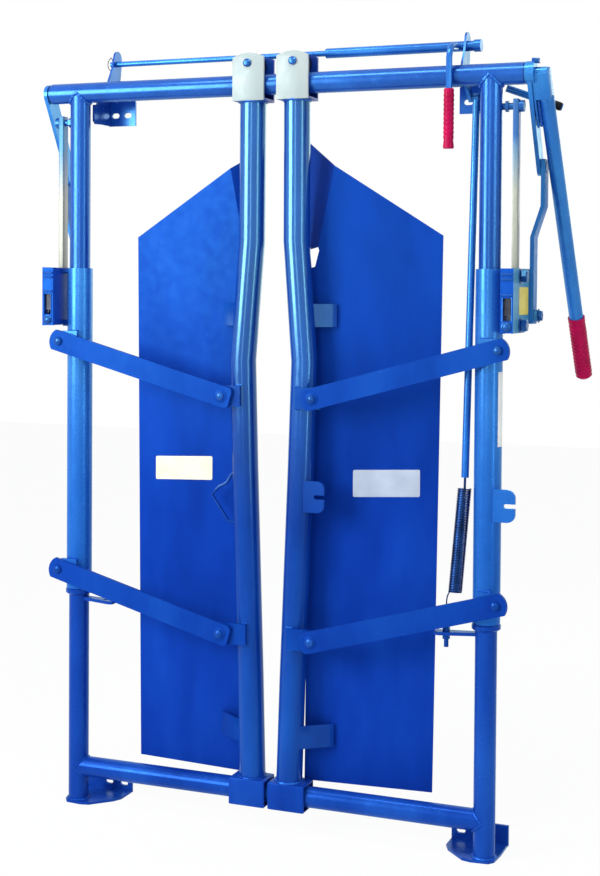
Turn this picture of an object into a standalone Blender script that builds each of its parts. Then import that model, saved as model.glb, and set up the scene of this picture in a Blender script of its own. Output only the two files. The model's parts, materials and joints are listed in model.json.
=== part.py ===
"""Cattle head gate: a welded tube frame, two gate halves that slide apart along it, two sleeves that
ride up the posts and push the halves through flat links, and a lever shaft that lifts the sleeves.

Metres, +Z up, +X to the right and +Y away from the operator, who stands in front of the gate.
Pieces are placed about the gate's centre line; the last step moves the whole object so that the
origin is the bottom centre of its box.
"""

import math

import bmesh
import bpy
from mathutils import Euler, Matrix, Vector

# Driving dimensions.
GAP = 0.0003                 # clearance where two pieces meet
TUBE_R, TUBE_BORE = 0.0254, 0.0222        # 2 in frame tube
SLEEVE_R, SLEEVE_BORE = 0.03175, 0.02705  # 2 1/2 in tube that slides on it
BAR_R, BAR_BORE = 0.03175, 0.02875        # 2 1/2 in gate bar
POST_X = 0.5317
BEAM_Z, SILL_Z = 1.798, 0.088             # centre lines of the top and bottom beams
BEAM_END = 0.609
FOOT_PLATE = 0.006
SHEET = 0.003                # gate panels
FLAT = 0.0095                # link and crank bars

SHAFT_R, SHAFT_LEFT, SHAFT_RIGHT = 0.0127, -0.632, 0.660
LEVER_TILT = math.radians(-61.8)          # cranks and lever, from +Y towards +Z
LEVER_TOP_X, LEVER_SPLAY, LEVER_LENGTH = 0.6502, 0.034, 0.790
LEVER_R = 0.0172
CRANK_LENGTH = 0.2326
CRANK_X = 0.62125
ARM_X, ARM_LENGTH, ARM_TILT = 0.470, 0.066, math.radians(-42.75)

OUTER_PIVOT_X, INNER_PIVOT_X = 0.565, 0.1175
UPPER_PIVOT_Z, LOWER_PIVOT_Z = 1.1728, 0.5968
LINK_DROP = 0.1238           # the inner pivot hangs this far below the outer one
LINK_WIDTH, LINK_Y = 0.0508, -0.04575
LUG_Y, LUG_THICK = -0.035, 0.010
PIVOT_R = 0.008              # bolts of the link pivots

SLEEVE_BOTTOM, SLEEVE_TOP = 0.546, 1.3565
LATCH_IN, LATCH_OUT = 0.5725, 0.6030      # the latch box, across
LATCH_FRONT, LATCH_BACK = -0.065, 0.0535
LATCH_BOTTOM, LATCH_TOP = 1.212, 1.358
LATCH_SHEET = 0.004
DOG_PIVOT_Y, DOG_PIVOT_Z, DOG_PIN_R = 0.0485, 1.303, 0.0035
PULL_PIN_Y, PULL_PIN_Z = 0.105, 1.250
LOCK_X, LOCK_Y = 0.5880, 0.012
LOCK_HALF_X, LOCK_HALF_Y = 0.00635, 0.0127           # half of the 1/2 in by 1 in flat
LOCK_BOLT_Z = 1.726

SADDLE_X, SADDLE_WIDTH = 0.05675, 0.0815
SADDLE_BOTTOM, SADDLE_TOP = 1.758, 1.872
SADDLE_DEPTH, SADDLE_SHEET = 0.070, 0.006
ROLLER_X, ROLLER_Z = 0.0585, 1.8475
BOX_IN, BOX_OUT = 0.004, 0.098            # slide boxes on the bottom beam
BOX_BOTTOM, BOX_TOP = 0.0555, 0.1215
PANEL_TILT, PANEL_FOLD = math.radians(4.7), math.radians(36)
PANEL_PIVOT = (0.080, 0.0415)             # a point of the panel's middle plane

ROD_Y, ROD_Z = 0.050, 1.8735              # selector rod
SELECTOR_X, HANG_Y = 0.441, -0.0338       # its hand lever, which hangs against the beam
SPRING_TOP = Vector((0.479, -0.0045, 0.853))
SPRING_BOTTOM = Vector((0.463, -0.020, 0.614))
EYE = Vector((0.4435, -0.022, 0.565))
SPRING_BRACKET_Z = 0.520

BLUE = (0.012, 0.10, 0.52)
LEFT, RIGHT = -1, 1
SIDES = ((LEFT, "left"), (RIGHT, "right"))


# Scene helpers.
def clear_scene():
    for old in list(bpy.data.objects):
        bpy.data.objects.remove(old, do_unlink=True)


def collection(name):
    made = bpy.data.collections.new(name)
    bpy.context.scene.collection.children.link(made)
    return made


def material(name, colour, roughness, metallic):
    made = bpy.data.materials.new(name)
    made.use_nodes = True
    shader = made.node_tree.nodes["Principled BSDF"]
    shader.inputs["Base Color"].default_value = (*colour, 1.0)
    shader.inputs["Roughness"].default_value = roughness
    shader.inputs["Metallic"].default_value = metallic
    return made


def empty(name, location):
    made = bpy.data.objects.new(name, None)
    made.empty_display_size = 0.05
    made.location = location
    PARTS.objects.link(made)
    made.parent = ROOT
    return made


def part(obj, name, colour=BLUE, roughness=0.28, metallic=0.35, joint=None):
    """Names a finished piece, gives it its own material and hangs it on its joint's empty."""
    obj.name = name
    obj.data.name = name
    obj.data.materials.clear()
    obj.data.materials.append(material(name, colour, roughness, metallic))
    obj.parent = joint or ROOT
    obj.matrix_parent_inverse = Matrix.Translation(-(joint.location if joint else Vector()))
    return obj


def helper(obj):
    """Turns an object into a Boolean's hidden operand."""
    for holder in list(obj.users_collection):
        holder.objects.unlink(obj)
    CUTTERS.objects.link(obj)
    obj.parent = ROOT
    obj.hide_render = True
    obj.display_type = "WIRE"


def boolean(obj, operation, others):
    for other in others:
        helper(other)
        modifier = obj.modifiers.new(operation.lower(), "BOOLEAN")
        modifier.operation = operation
        modifier.solver = "EXACT"
        modifier.object = other
    return obj


def weld(obj, *others):
    return boolean(obj, "UNION", others)


def cut(obj, *others):
    return boolean(obj, "DIFFERENCE", others)


def mesh_object(name, mesh, location=(0, 0, 0), turn=None):
    obj = bpy.data.objects.new(name, mesh)
    PARTS.objects.link(obj)
    obj.location = location
    if turn is not None:
        obj.rotation_euler = turn
    return obj


def from_bmesh(name, shape, location=(0, 0, 0), turn=None):
    mesh = bpy.data.meshes.new(name)
    shape.to_mesh(mesh)
    shape.free()
    mesh.shade_smooth()
    mesh.set_sharp_from_angle(angle=math.radians(35))
    return mesh_object(name, mesh, location, turn)


# Shapes.
def box(low, high, bevel=0.0, turn=None):
    """A block between two corners, turned about its centre."""
    low, high = Vector(low), Vector(high)
    shape = bmesh.new()
    bmesh.ops.create_cube(shape, size=1.0)
    bmesh.ops.scale(shape, vec=high - low, verts=shape.verts)
    obj = from_bmesh("box", shape, (low + high) / 2, turn)
    if bevel:
        modifier = obj.modifiers.new("bevel", "BEVEL")
        modifier.width = bevel
        modifier.segments = 2
    return obj


def rod(start, end, radius, sides=24, end_radius=None):
    """A solid round bar, or a cone, from one point to another."""
    start, end = Vector(start), Vector(end)
    along = end - start
    shape = bmesh.new()
    bmesh.ops.create_cone(
        shape, cap_ends=True, segments=sides, radius1=radius,
        radius2=radius if end_radius is None else end_radius, depth=along.length,
    )
    return from_bmesh("rod", shape, (start + end) / 2, along.to_track_quat("Z", "Y").to_euler())


def turned(profile, location, direction, sides=24, closed=False):
    """A profile of (radius, height) points, from top to bottom, turned about an axis."""
    shape = bmesh.new()
    points = [shape.verts.new((radius, 0, height)) for radius, height in profile]
    for first, second in zip(points, points[1:]):
        shape.edges.new((first, second))
    if closed:
        shape.edges.new((points[-1], points[0]))
    mesh = bpy.data.meshes.new("turned")
    shape.to_mesh(mesh)
    shape.free()
    obj = mesh_object("turned", mesh, location, Vector(direction).to_track_quat("Z", "Y").to_euler())
    screw = obj.modifiers.new("screw", "SCREW")
    screw.steps = screw.render_steps = sides
    screw.use_merge_vertices = True
    screw.merge_threshold = 0.00001
    screw.use_smooth_shade = True
    return obj


def tube(start, end, outer, inner, sides=24):
    """A pipe with open ends."""
    start, end = Vector(start), Vector(end)
    half = (end - start).length / 2
    profile = [(outer, half), (outer, -half), (inner, -half), (inner, half)]
    return turned(profile, (start + end) / 2, end - start, sides, closed=True)


def as_mesh(obj):
    """The curve's evaluated shape as a mesh object, so that Booleans can use it."""
    bpy.context.view_layer.update()
    evaluated = obj.evaluated_get(bpy.context.evaluated_depsgraph_get())
    mesh = bpy.data.meshes.new_from_object(evaluated)
    shape = bmesh.new()
    shape.from_mesh(mesh)
    bmesh.ops.remove_doubles(shape, verts=shape.verts, dist=0.00001)
    bmesh.ops.recalc_face_normals(shape, faces=shape.faces)
    shape.to_mesh(mesh)
    shape.free()
    mesh.shade_smooth()
    mesh.set_sharp_from_angle(angle=math.radians(35))
    solid = mesh_object(obj.name, mesh)
    solid.matrix_world = obj.matrix_world
    bpy.data.objects.remove(obj)
    return solid


def bent_bar(points, radius, resolution=2):
    """A round bar along a polyline, as a mesh with closed ends."""
    curve = bpy.data.curves.new("bent_bar", "CURVE")
    curve.dimensions = "3D"
    curve.bevel_depth = radius
    curve.bevel_resolution = resolution
    curve.use_fill_caps = True
    spline = curve.splines.new("POLY")
    spline.points.add(len(points) - 1)
    for point, place in zip(spline.points, points):
        point.co = (*place, 1.0)
    obj = bpy.data.objects.new("bent_bar", curve)
    PARTS.objects.link(obj)
    return as_mesh(obj)


def arc(centre, radius, start, end, steps=8):
    """Points on a circle, from one angle in degrees to another."""
    angles = [math.radians(start + (end - start) * i / steps) for i in range(steps + 1)]
    return [(centre[0] + radius * math.cos(a), centre[1] + radius * math.sin(a)) for a in angles]


def slot(centre, length, width, steps=6):
    """A round-ended slot along the outline's first axis."""
    reach = (length - width) / 2
    left = arc((centre[0] - reach, centre[1]), width / 2, 90, 270, steps)
    return left + arc((centre[0] + reach, centre[1]), width / 2, -90, 90, steps)


FACING_Y = (math.radians(90), 0, 0)       # the outline's axes become X and Z
FACING_X = (math.radians(90), 0, math.radians(90))  # they become Y and Z


def plate(outline, thickness, location=(0, 0, 0), turn=FACING_Y, holes=()):
    """A flat outline given its thickness, with its holes cut through it."""
    curve = bpy.data.curves.new("plate", "CURVE")
    curve.dimensions = "2D"
    curve.fill_mode = "BOTH"
    curve.extrude = thickness / 2
    spline = curve.splines.new("POLY")
    spline.points.add(len(outline) - 1)
    for point, place in zip(spline.points, outline):
        point.co = (*place, 0.0, 1.0)
    spline.use_cyclic_u = True
    obj = bpy.data.objects.new("plate", curve)
    PARTS.objects.link(obj)
    obj.location = location
    obj.rotation_euler = turn
    return cut(as_mesh(obj), *[plate(hole, thickness + 0.01, location, turn) for hole in holes])


def sided(side, points):
    """The outline as it is on the right, or its mirror image on the left."""
    return [(side * x, y) for x, y in points]


# Frame.
def top_beam():
    beam = tube((-BEAM_END, 0, BEAM_Z), (BEAM_END, 0, BEAM_Z), TUBE_R, TUBE_BORE)
    arm_slot = box((ARM_X - 0.009, -0.008, BEAM_Z - 0.03), (ARM_X + 0.009, 0.04, BEAM_Z + 0.03))
    part(cut(beam, arm_slot), "top_beam")


def bottom_beam():
    reach = POST_X - 0.006
    beam = tube((-reach, 0, SILL_Z), (reach, 0, SILL_Z), TUBE_R, TUBE_BORE)
    posts = [rod((side * POST_X, 0, 0), (side * POST_X, 0, 0.2), TUBE_R + GAP, 32) for side, _ in SIDES]
    part(cut(beam, *posts), "bottom_beam")


def posts():
    for side, word in SIDES:
        x = side * POST_X
        post = tube((x, 0, FOOT_PLATE + GAP), (x, 0, BEAM_Z - 0.006), TUBE_R, TUBE_BORE)
        collar_half = 0.0077
        collar_z = SLEEVE_BOTTOM - GAP - collar_half
        profile = [
            (0.0310, collar_half), (0.0335, collar_half - 0.003), (0.0335, -0.004),
            (0.0290, -collar_half), (TUBE_R - 0.001, -collar_half), (TUBE_R - 0.001, collar_half),
        ]
        collar = turned(profile, (x, 0, collar_z), (0, 0, 1), closed=True)
        beam = rod((x - 0.1, 0, BEAM_Z), (x + 0.1, 0, BEAM_Z), TUBE_R + GAP, 32)
        part(cut(weld(post, collar), beam), f"{word}_post")


def feet():
    slots = [slot((0.451, 0.024), 0.022, 0.013), slot((0.494, 0.024), 0.022, 0.013)]
    sole = [
        (0.430, 0.0965), (0.430, 0.040), (0.441, 0.018), (0.487, -0.029), (0.508, -0.034),
        (0.549, -0.030), (0.560, -0.016), (0.564, 0.030), (0.564, 0.0965),
    ]
    flange = [
        (0.428, 0.0015), (0.566, 0.0015), (0.566, 0.050), (0.436, 0.050), (0.428, 0.042),
    ]
    for side, word in SIDES:
        ground = plate(sided(side, sole), FOOT_PLATE, (0, 0, FOOT_PLATE / 2), (0, 0, 0))
        back = plate(
            sided(side, flange), 0.006, (0, 0.097, 0), FACING_Y, [sided(side, loop) for loop in slots]
        )
        part(weld(ground, back), f"{word}_foot")


def top_brackets():
    """Slotted angle brackets behind the top of each post."""
    flange = [(0.429, 1.723), (0.505, 1.723), (0.505, 1.789), (0.434, 1.789), (0.429, 1.784)]
    slots = [slot((0.451, 1.750), 0.022, 0.013), slot((0.486, 1.750), 0.022, 0.013)]
    leg = [
        (0.016, 1.730), (0.026, 1.722), (0.060, 1.724), (0.104, 1.724),
        (0.104, 1.788), (0.044, 1.788), (0.032, 1.772), (0.016, 1.770),
    ]
    for side, word in SIDES:
        back = plate(
            sided(side, flange), 0.006, (0, 0.103, 0), FACING_Y, [sided(side, loop) for loop in slots]
        )
        arm = plate(leg, 0.006, (side * 0.5035, 0, 0), FACING_X)
        post = rod((side * POST_X, 0, 1.6), (side * POST_X, 0, 1.8), TUBE_R + GAP, 32)
        part(cut(weld(arm, back), post), f"{word}_top_bracket")


def rod_hangers():
    """Plates that lean back from the beam and carry the selector rod."""
    outline = [(-0.004, 1.805), (0.061, 1.790), (0.071, 1.840), (0.0765, 1.876)]
    outline += arc((0.0575, 1.888), 0.0190, 0, 150, 8) + [(0.029, 1.860)]
    for side, word, hole in ((LEFT, "left", 0.0076), (RIGHT, "right", 0.0126)):
        hanger = plate(
            outline, 0.005, (side * 0.4585, 0, 0), FACING_X, [arc((ROD_Y, ROD_Z), hole, 0, 337.5, 15)]
        )
        x = side * 0.4585
        beam = rod((x - 0.05, 0, BEAM_Z), (x + 0.05, 0, BEAM_Z), TUBE_R + GAP, 32)
        part(cut(hanger, beam), f"{word}_rod_hanger")


def shaft_bushings():
    """Flanged bushings pressed into the ends of the top beam."""
    bore, inside, flange, face = SHAFT_R + GAP, TUBE_BORE - GAP, 0.0235, 0.003
    for side, word in SIDES:
        profile = [
            (flange, face), (flange, 0), (inside, 0), (inside, -0.022), (bore, -0.022), (bore, face),
        ]
        bushing = turned(profile, (side * (BEAM_END + GAP), 0, BEAM_Z), (side, 0, 0), closed=True)
        part(bushing, f"{word}_shaft_bushing", (0.02, 0.06, 0.22), 0.4, 0.6)


def lock_bars():
    """Bright steel bars that the latches grip, hung from bolts on the posts."""
    half_x, half_y = LOCK_HALF_X, LOCK_HALF_Y
    for side, word in SIDES:
        x = side * LOCK_X
        bar = box((x - half_x, LOCK_Y - half_y, 1.2135), (x + half_x, LOCK_Y + half_y, 1.742), 0.001)
        hole = rod((x - 0.03, LOCK_Y, LOCK_BOLT_Z), (x + 0.03, LOCK_Y, LOCK_BOLT_Z), PIVOT_R + GAP, 16)
        part(cut(bar, hole), f"{word}_lock_bar", (0.62, 0.62, 0.58), 0.3, 0.9)

        def at(offset):
            return (side * offset, LOCK_Y, LOCK_BOLT_Z)

        bolt = rod(at(0.540), at(LOCK_X + 0.015), PIVOT_R, 16)
        nut = rod(at(0.562), at(0.570), 0.0125, 6)
        head = rod(at(LOCK_X + half_x + GAP), at(LOCK_X + 0.0175), 0.0135, 16)
        post = rod((side * POST_X, 0, 1.6), (side * POST_X, 0, 1.8), TUBE_R + GAP, 32)
        part(cut(weld(bolt, nut, head), post), f"{word}_lock_bar_bolt", BLUE, 0.35, 0.5)


def spring_brackets():
    """Arms on the posts that the closing spring's eye bolt can be fitted to on either side."""
    for side, word in SIDES:
        outline = [(0.418, -0.036), (0.430, -0.038), (0.520, -0.012), (0.520, 0.008), (0.418, -0.010)]
        arm = plate(
            sided(side, outline), 0.008, (0, 0, SPRING_BRACKET_Z), (0, 0, 0),
            [sided(side, arc((EYE.x, EYE.y), 0.0058, 0, 337.5, 15))],
        )
        post = rod((side * POST_X, 0, 0.4), (side * POST_X, 0, 0.6), TUBE_R + GAP, 32)
        part(cut(arm, post), f"{word}_spring_bracket", (0.012, 0.06, 0.26), 0.4, 0.4)


def spring_eye_bolt():
    """A bolt with an eye that carries the spring's lower hook."""
    x, y = EYE.x, EYE.y
    shank = rod((x, y, SPRING_BRACKET_Z - 0.032), (x, y, EYE.z - 0.010), 0.0055, 12)
    eye = turned(
        [(0.0125 + 0.0035 * math.cos(a), 0.0035 * math.sin(a)) for a in
         [math.radians(-45 * i) for i in range(8)]],
        (x, y, EYE.z), (0, 1, 0), 16, closed=True,
    )
    lower = rod((x, y, SPRING_BRACKET_Z - 0.0135), (x, y, SPRING_BRACKET_Z - 0.0043), 0.009, 6)
    upper = rod((x, y, SPRING_BRACKET_Z + 0.0043), (x, y, SPRING_BRACKET_Z + 0.0135), 0.009, 6)
    part(weld(shank, eye, lower, upper), "spring_eye_bolt", (0.02, 0.04, 0.12), 0.4, 0.7)


# Sleeves and latches.
def hook_plate(side, x_in, x_out, z, y):
    """A D-shaped plate with a slot that is open on its outer side."""
    low, high, corner = z - 0.0375, z + 0.0375, 0.018
    outline = [(x_in, low)] + arc((x_out - corner, low + corner), corner, -90, 0, 4)
    outline += [(x_out, z - 0.005)] + arc((x_out - 0.022, z), 0.005, 270, 90, 4)
    outline += [(x_out, z + 0.005)] + arc((x_out - corner, high - corner), corner, 0, 90, 4)
    outline += [(x_in, high)]
    return plate(sided(side, outline), 0.008, (0, y, 0))


def sleeves():
    for side, word in SIDES:
        x = side * POST_X
        joint = SLEEVES[side]
        sleeve = tube((x, 0, SLEEVE_BOTTOM), (x, 0, SLEEVE_TOP), SLEEVE_R, SLEEVE_BORE)
        pieces, holes = [], []
        for z in (UPPER_PIVOT_Z, LOWER_PIVOT_Z):
            outline = [(POST_X - 0.013, z - 0.026), (POST_X + 0.030, z - 0.026)]
            outline += arc((OUTER_PIVOT_X - 0.001, z), 0.0235, -70, 70, 8)
            outline += [(POST_X + 0.030, z + 0.026), (POST_X - 0.013, z + 0.026)]
            pieces.append(plate(sided(side, outline), LUG_THICK, (0, LUG_Y, 0)))
            pivot = side * OUTER_PIVOT_X
            holes.append(rod((pivot, -0.1, z), (pivot, -0.026, z), PIVOT_R + GAP, 16))
        if side == RIGHT:
            pieces.append(hook_plate(side, POST_X + 0.0185, 0.6025, 0.8205, -0.024))
        part(cut(weld(sleeve, *pieces), *holes), f"{word}_sleeve", joint=joint)


def latch_boxes():
    """Sheet boxes beside the sleeves: front, inner and outer walls, and the pull link's stud."""
    outer = [(LATCH_FRONT, LATCH_BOTTOM), (0.046, LATCH_BOTTOM), (0.070, 1.236), (0.095, 1.232)]
    outer += arc((PULL_PIN_Y, PULL_PIN_Z), 0.0195, -90, 0, 4)
    outer += [(0.1245, 1.305), (0.090, LATCH_TOP), (LATCH_FRONT, LATCH_TOP)]
    window = [(0.5792, 1.240), (0.5977, 1.240), (0.5977, 1.291), (0.5792, 1.291)]
    low, high = LATCH_BOTTOM + 0.0005, LATCH_TOP - 0.0005
    front = [
        (LATCH_IN, low), (LATCH_OUT - 0.001, low), (LATCH_OUT - 0.001, high), (LATCH_IN, high),
    ]
    for side, word in SIDES:
        wall = plate(outer, LATCH_SHEET, (side * (LATCH_OUT - LATCH_SHEET / 2), 0, 0), FACING_X)
        face = plate(
            sided(side, front), LATCH_SHEET, (0, LATCH_FRONT + 0.0005 + LATCH_SHEET / 2, 0), FACING_Y,
            [sided(side, window)],
        )
        low, high = sorted((side * (LATCH_IN + 0.0005), side * (LATCH_IN + LATCH_SHEET)))
        inner = box((low, LATCH_FRONT + 0.001, LATCH_BOTTOM + 0.001), (high, LATCH_BACK, LATCH_TOP - 0.001))
        webs = []
        for z in (LATCH_BOTTOM + 0.004, LATCH_TOP - 0.014):
            low, high = sorted((side * 0.550, side * (LATCH_IN + 0.002)))
            webs.append(box((low, -0.014, z), (high, 0.014, z + 0.010)))
        stud = rod(
            (side * (LATCH_OUT - 0.003), PULL_PIN_Y, PULL_PIN_Z), (side * 0.6160, PULL_PIN_Y, PULL_PIN_Z),
            0.0078, 16,
        )
        cap = rod(
            (side * 0.6138, PULL_PIN_Y, PULL_PIN_Z), (side * 0.6218, PULL_PIN_Y, PULL_PIN_Z), 0.0140, 16,
        )
        x = side * POST_X
        sleeve = rod((x, 0, LATCH_BOTTOM - 0.1), (x, 0, LATCH_TOP + 0.1), SLEEVE_R + GAP, 32)
        pin = rod(
            (side * 0.56, DOG_PIVOT_Y, DOG_PIVOT_Z), (side * 0.61, DOG_PIVOT_Y, DOG_PIVOT_Z),
            DOG_PIN_R + GAP, 12,
        )
        part(
            cut(weld(wall, face, inner, *webs, stud, cap), sleeve, pin), f"{word}_latch_box",
            joint=SLEEVES[side],
        )


def latch_dogs():
    """Tilting plates inside the latch boxes; each one grips its lock bar when it cants."""
    top, thick = 1.306, 0.006
    for side, word in SIDES:
        x = side * LOCK_X
        dog = box((x - 0.0105, -0.056, top - thick), (x + 0.0105, DOG_PIVOT_Y + 0.001, top))
        tab = box((x - 0.0070, -0.0590, 1.252), (x + 0.0070, -0.0520, top))
        pin = rod(
            (side * (LATCH_IN + 0.001), DOG_PIVOT_Y, DOG_PIVOT_Z),
            (side * (LATCH_OUT - 0.001), DOG_PIVOT_Y, DOG_PIVOT_Z), DOG_PIN_R, 12,
        )
        near, far = LOCK_Y - LOCK_HALF_Y - 0.002, LOCK_Y + LOCK_HALF_Y + 0.0005
        hole = box((x - LOCK_HALF_X - 0.001, near, 1.29), (x + LOCK_HALF_X + 0.001, far, 1.32))
        part(cut(weld(dog, tab, pin), hole), f"{word}_latch_dog", (0.03, 0.03, 0.035), 0.45, 0.8,
             DOGS[side])


# Links.
def links():
    length = math.hypot(OUTER_PIVOT_X - INNER_PIVOT_X, LINK_DROP)
    slope = math.atan2(LINK_DROP, OUTER_PIVOT_X - INNER_PIVOT_X)
    half, corner, past = LINK_WIDTH / 2, 0.011, 0.025
    round_end = [(0.035 * math.cos(a) - 0.009, 0.035 * math.sin(a)) for a in
                 [math.radians(-46.5 + 93 * i / 8) for i in range(9)]]
    outline = [(length + dx, dz) for dx, dz in round_end]
    outline += arc((corner - past, half - corner), corner, 90, 180, 4)
    outline += arc((corner - past, corner - half), corner, 180, 270, 4)
    holes = [arc((at, 0), PIVOT_R + GAP, 0, 337.5, 15) for at in (0, length)]
    for side, word in SIDES:
        for level, z in (("upper", UPPER_PIVOT_Z), ("lower", LOWER_PIVOT_Z)):
            joint = LINKS[side, level]
            inner = (side * INNER_PIVOT_X, LINK_Y, z - LINK_DROP)
            turn = (math.radians(90), -side * slope, 0)
            link = plate(
                sided(side, outline), FLAT, inner, turn, [sided(side, loop) for loop in holes]
            )
            part(link, f"{word}_{level}_link", joint=joint)
            outer_bolt = pivot_bolt(side * OUTER_PIVOT_X, z, -0.0306)
            part(outer_bolt, f"{word}_{level}_outer_bolt", joint=SLEEVES[side])
            inner_bolt = pivot_bolt(side * INNER_PIVOT_X, z - LINK_DROP, LINK_Y + FLAT / 2)
            part(inner_bolt, f"{word}_{level}_inner_bolt", joint=joint)


def pivot_bolt(x, z, back):
    """A bolt in a link, with a domed round head in front."""
    face = LINK_Y - FLAT / 2 - GAP
    profile = [(0, 0.0085), (0.0055, 0.0078), (0.0095, 0.0052), (0.0110, 0.0)]
    profile += [(PIVOT_R, 0.0), (PIVOT_R, face - back), (0, face - back)]
    return turned(profile, (x, face, z), (0, -1, 0), 16)


# Gate halves.
def bar_line():
    """The gate bar's centre line on the right, from its foot to the saddle."""
    return [
        Vector((0.0475, 0, BOX_TOP + GAP)), Vector((0.0550, 0, 0.373)), Vector((0.0725, 0, 0.879)),
        Vector((0.0797, 0, 1.135)), Vector((0.0580, 0, 1.423)), Vector((0.0570, 0, SADDLE_BOTTOM - GAP)),
    ]


def bar_x(z):
    """The gate bar's distance from the centre line at a height."""
    line = bar_line()
    for low, high in zip(line, line[1:]):
        if low.z <= z <= high.z:
            return low.lerp(high, (z - low.z) / (high.z - low.z)).x
    return line[-1].x


def gate_bars():
    for side, word in SIDES:
        line = [Vector((side * p.x, p.y, p.z)) for p in bar_line()]
        line = [line[0] - Vector((0, 0, 0.02)), *line[1:-1], line[-1] + Vector((0, 0, 0.02))]
        bar = bent_bar(line, BAR_R, 10)
        bore = bent_bar(line, BAR_BORE, 10)
        ends = [
            box((-0.2, -0.1, 0), (0.2, 0.1, BOX_TOP + GAP)),
            box((-0.2, -0.1, SADDLE_BOTTOM - GAP), (0.2, 0.1, SADDLE_TOP)),
        ]
        pieces = []
        for z in (UPPER_PIVOT_Z - LINK_DROP, LOWER_PIVOT_Z - LINK_DROP):
            inner = bar_x(z) - 0.006
            outline = [(inner, z - 0.0255), (INNER_PIVOT_X + 0.016, z - 0.0255)]
            outline += [(INNER_PIVOT_X + 0.024, z - 0.015), (INNER_PIVOT_X + 0.024, z + 0.015)]
            outline += [(INNER_PIVOT_X + 0.016, z + 0.0255), (inner, z + 0.0255)]
            hole = arc((INNER_PIVOT_X, z), PIVOT_R + GAP, 0, 337.5, 15)
            pieces.append(plate(sided(side, outline), LUG_THICK, (0, LUG_Y, 0), FACING_Y,
                                [sided(side, hole)]))
        for z, inner, inner_y in ((1.245, 0.098, 0.004), (0.232, 0.064, -0.024)):
            pieces.append(panel_strap(side, z, inner, inner_y))
        if side == RIGHT:
            pieces.append(hook_plate(side, 0.0885, 0.1432, 0.8148, -0.024))
        part(weld(cut(bar, bore, *ends), *pieces), f"{word}_gate_bar", joint=GATES[side])


def panel_strap(side, z, inner, inner_y):
    """A short flat that reaches back from the bar to the panel's front face."""
    start = Vector((side * inner, inner_y, z))
    end = Vector((side * 0.146, 0.0395, z))
    along = end - start
    middle = (start + end) / 2
    half = Vector((along.length / 2, 0.0025, 0.0275))
    angle = math.atan2(along.y, along.x)
    return box(middle - half, middle + half, 0, (0, 0, angle))


def saddles():
    """U straps over the top beam, each with a roller between its arched cheeks."""
    half, crown = SADDLE_WIDTH / 2, 0.0105
    corner = SADDLE_TOP - crown
    outline = [(-half, SADDLE_BOTTOM), (half, SADDLE_BOTTOM), (half, corner)]
    outline += [(half * (1 - i / 4), corner + crown * (1 - (1 - i / 4) ** 2)) for i in range(1, 8)]
    outline += [(-half, corner)]
    reach = SADDLE_DEPTH / 2
    for side, word in SIDES:
        x = side * SADDLE_X
        strap = plate(outline, SADDLE_DEPTH, (x, 0, 0))
        bevel = strap.modifiers.new("bends", "BEVEL")
        bevel.width = 0.003
        bevel.segments = 2
        bevel.angle_limit = math.radians(60)
        inside = reach - SADDLE_SHEET
        hollow = box(
            (x - 0.1, -inside, SADDLE_BOTTOM + SADDLE_SHEET), (x + 0.1, inside, SADDLE_TOP + 0.1)
        )
        axle = side * ROLLER_X
        hole = rod((axle, -0.1, ROLLER_Z), (axle, 0.1, ROLLER_Z), 0.0066, 16)
        part(cut(strap, hollow, hole), f"{word}_saddle", (0.32, 0.46, 0.55), 0.35, 0.5, GATES[side])

        face = reach + GAP
        profile = [(0, face + 0.0075), (0.0060, face + 0.0068), (0.0100, face + 0.0035), (0.0100, face)]
        profile += [(0.0060, face), (0.0060, -face), (0.0105, -face), (0.0105, -face - 0.008)]
        profile += [(0, -face - 0.008)]
        bolt = turned(profile, (axle, 0, ROLLER_Z), (0, -1, 0), 16)
        part(bolt, f"{word}_saddle_bolt", (0.02, 0.09, 0.36), 0.35, 0.5, GATES[side])


def saddle_rollers():
    """Grooved rollers that run on top of the beam."""
    rim, groove, half, bore = 0.0245, 0.012, 0.0262, 0.0063

    def reach(y):
        drop = math.sqrt(TUBE_R ** 2 - y ** 2)
        return min(rim, ROLLER_Z - BEAM_Z - drop - GAP)

    heights = [groove * (1 - i / 4) for i in range(9)]
    profile = [(rim, half)] + [(reach(y), y) for y in heights] + [(rim, -half), (bore, -half), (bore, half)]
    for side, word in SIDES:
        roller = turned(profile, (side * ROLLER_X, 0, ROLLER_Z), (0, 1, 0), 20, closed=True)
        part(roller, f"{word}_saddle_roller", (0.03, 0.03, 0.035), 0.5, 0.7, ROLLERS[side])


def slide_boxes():
    """Box shoes that run along the bottom beam."""
    for side, word in SIDES:
        low, high = sorted((side * BOX_IN, side * BOX_OUT))
        reach = SADDLE_DEPTH / 2
        shoe = box((low, -reach, BOX_BOTTOM), (high, reach, BOX_TOP), 0.004)
        hollow = box((low - 0.1, -0.031, BOX_BOTTOM + 0.004), (high + 0.1, 0.031, BOX_TOP - 0.005))
        part(cut(shoe, hollow), f"{word}_slide_box", joint=GATES[side])


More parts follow.
